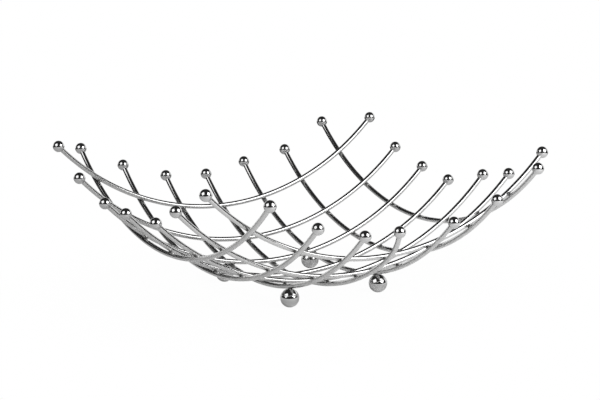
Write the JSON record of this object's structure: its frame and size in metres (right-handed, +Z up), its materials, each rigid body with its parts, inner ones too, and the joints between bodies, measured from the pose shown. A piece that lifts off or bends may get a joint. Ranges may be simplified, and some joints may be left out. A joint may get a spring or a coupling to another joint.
{
  "type": "wire fruit basket",
  "caption": "Square dished fruit basket of chrome-plated wire: two layers of bent wires welded where they cross, a ball on every wire end, and ball feet underneath.",
  "frame": {"origin": "on the table, below the middle of the wire grid", "axes": "+X along the inner wires to the right, +Y along the outer wires to the back, +Z up"},
  "size_m": [0.3446, 0.3449, 0.1284],
  "materials": {
    "chrome_wire": "polished chrome plate over drawn steel wire",
    "chrome_tip_ball": "mirror-bright chrome plate over a steel ball",
    "chrome_foot": "mirror-bright chrome plate over a steel ball, ground flat underneath"
  },
  "bodies": {
    "root": {"inner_wire_1": "chrome_wire", "inner_wire_2": "chrome_wire", "inner_wire_3": "chrome_wire", "inner_wire_4": "chrome_wire", "inner_wire_5": "chrome_wire", "inner_wire_6": "chrome_wire", "inner_wire_7": "chrome_wire", "outer_wire_1": "chrome_wire", "outer_wire_2": "chrome_wire", "outer_wire_3": "chrome_wire", "outer_wire_4": "chrome_wire", "outer_wire_5": "chrome_wire", "outer_wire_6": "chrome_wire", "outer_wire_7": "chrome_wire", "inner_ball_1_left": "chrome_tip_ball", "inner_ball_2_left": "chrome_tip_ball", "inner_ball_3_left": "chrome_tip_ball", "inner_ball_4_left": "chrome_tip_ball", "inner_ball_5_left": "chrome_tip_ball", "inner_ball_6_left": "chrome_tip_ball", "inner_ball_7_left": "chrome_tip_ball", "inner_ball_1_right": "chrome_tip_ball", "inner_ball_2_right": "chrome_tip_ball", "inner_ball_3_right": "chrome_tip_ball", "inner_ball_4_right": "chrome_tip_ball", "inner_ball_5_right": "chrome_tip_ball", "inner_ball_6_right": "chrome_tip_ball", "inner_ball_7_right": "chrome_tip_ball", "outer_ball_1_front": "chrome_tip_ball", "outer_ball_2_front": "chrome_tip_ball", "outer_ball_3_front": "chrome_tip_ball", "outer_ball_4_front": "chrome_tip_ball", "outer_ball_5_front": "chrome_tip_ball", "outer_ball_6_front": "chrome_tip_ball", "outer_ball_7_front": "chrome_tip_ball", "outer_ball_1_back": "chrome_tip_ball", "outer_ball_2_back": "chrome_tip_ball", "outer_ball_3_back": "chrome_tip_ball", "outer_ball_4_back": "chrome_tip_ball", "outer_ball_5_back": "chrome_tip_ball", "outer_ball_6_back": "chrome_tip_ball", "outer_ball_7_back": "chrome_tip_ball", "foot_front_left": "chrome_foot", "foot_front_right": "chrome_foot", "foot_back_left": "chrome_foot", "foot_back_right": "chrome_foot"}
  },
  "joints": []
}
